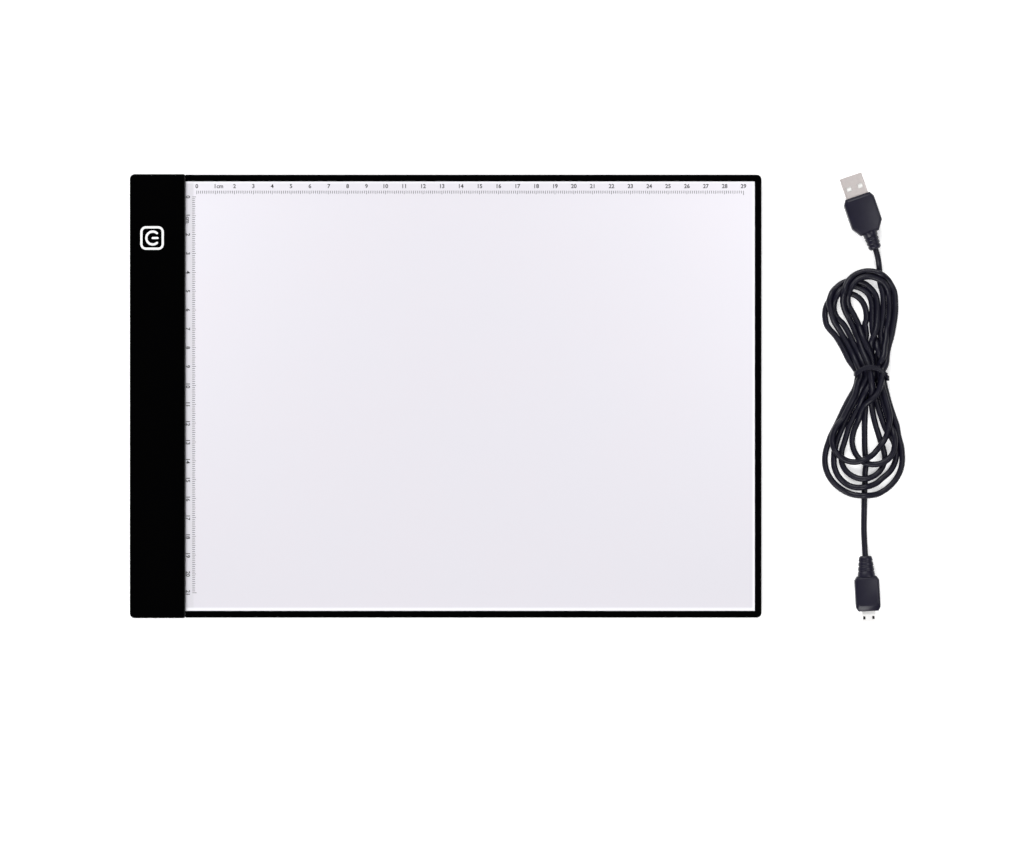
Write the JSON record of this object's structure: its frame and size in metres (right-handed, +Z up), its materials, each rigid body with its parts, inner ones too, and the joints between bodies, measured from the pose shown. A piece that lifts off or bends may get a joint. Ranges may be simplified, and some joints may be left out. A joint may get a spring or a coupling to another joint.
{
  "type": "light box",
  "caption": "Slim A4 edge-lit tracing pad: pale acrylic drawing surface with centimetre scales, black frame, black touch-key bar and a separate tied-up USB power lead.",
  "frame": {"origin": "middle of the pad's footprint, on the surface it stands on; the free power lead lies beside it and is left out of this", "axes": "+X along the pad's length, from the key bar to the far end; +Y towards the edge that carries the long scale; +Z up out of the drawing surface"},
  "size_m": [0.4119, 0.2387, 0.0108],
  "materials": {
    "black_housing": "smooth black moulded plastic, satin",
    "drawing_surface": "pale lavender-white acrylic, softly polished, with a printed centimetre scale",
    "light_guide": "clear acrylic with a printed dot pattern",
    "film": "milky white film",
    "foam": "grey closed-cell foam",
    "foot_rubber": "black rubber, matt",
    "screw": "zinc-plated steel",
    "led_board": "white solder mask with yellow-white lamps",
    "circuit_board": "green solder mask",
    "chip": "black moulded package",
    "capacitor": "tan ceramic",
    "copper": "bare copper",
    "connector_metal": "nickel-plated sheet steel",
    "black_insulator": "black nylon",
    "white_insulator": "white nylon",
    "contact_gold": "gold-plated contact",
    "plug_black": "black moulded vinyl, satin",
    "cord_black": "black flexible vinyl, satin",
    "wire_red": "red wire insulation",
    "wire_black": "black wire insulation"
  },
  "bodies": {
    "pad": {"back_plate": "black_housing", "bar_bottom_shell": "black_housing", "bar_screw_1": "screw", "bar_screw_2": "screw", "bar_screw_3": "screw", "bar_screw_4": "screw", "bar_top_shell": "black_housing", "control_board": "circuit_board", "diffuser_sheet": "film", "drawing_surface": "drawing_surface", "driver_inductor": "chip", "filter_capacitor": "capacitor", "foot_bar_lower": "foot_rubber", "foot_bar_upper": "foot_rubber", "foot_end_lower": "foot_rubber", "foot_end_upper": "foot_rubber", "foot_middle_lower": "foot_rubber", "foot_middle_upper": "foot_rubber", "led_driver_chip": "chip", "led_strip": "led_board", "light_guide_foam_strip": "foam", "light_guide_plate": "light_guide", "reflector_sheet": "film", "sense_resistor": "chip", "side_frame": "black_housing", "supply_wire_negative": "wire_black", "supply_wire_positive": "wire_red", "touch_controller_chip": "chip", "touch_electrode": "copper", "touch_spring": "copper", "usb_port_shell": "connector_metal", "usb_port_tongue": "black_insulator"},
    "cable": {"cable_tie": "cord_black", "cord_hank": "cord_black", "cord_to_micro_usb": "cord_black", "cord_to_usb_a": "cord_black", "micro_usb_contact_carrier": "black_insulator", "micro_usb_grip": "plug_black", "micro_usb_shell": "connector_metal", "micro_usb_strain_relief": "plug_black", "usb_a_contact_1": "contact_gold", "usb_a_contact_2": "contact_gold", "usb_a_contact_3": "contact_gold", "usb_a_contact_4": "contact_gold", "usb_a_contact_carrier": "white_insulator", "usb_a_grip": "plug_black", "usb_a_shell": "connector_metal", "usb_a_strain_relief": "plug_black"},
    "latch_left": {"micro_usb_latch_left": "connector_metal"},
    "latch_right": {"micro_usb_latch_right": "connector_metal"}
  },
  "joints": [
    {"name": "cable_lift", "type": "slide", "parent": "pad", "child": "cable", "axis": [0, 0, 1], "range_m": [0, 0.1]},
    {"name": "latch_left_press", "type": "hinge", "parent": "cable", "child": "latch_left", "pos_m": [0.22203, -0.11463, 0.0039], "axis": [0.9985, 0.0541, 0], "range_deg": [0, 4.5], "stiffness_Nm_per_rad": 0.03},
    {"name": "latch_right_press", "type": "hinge", "parent": "cable", "child": "latch_right", "pos_m": [0.22682, -0.11437, 0.0039], "axis": [0.9985, 0.0541, 0], "range_deg": [0, 4.5], "stiffness_Nm_per_rad": 0.03}
  ]
}
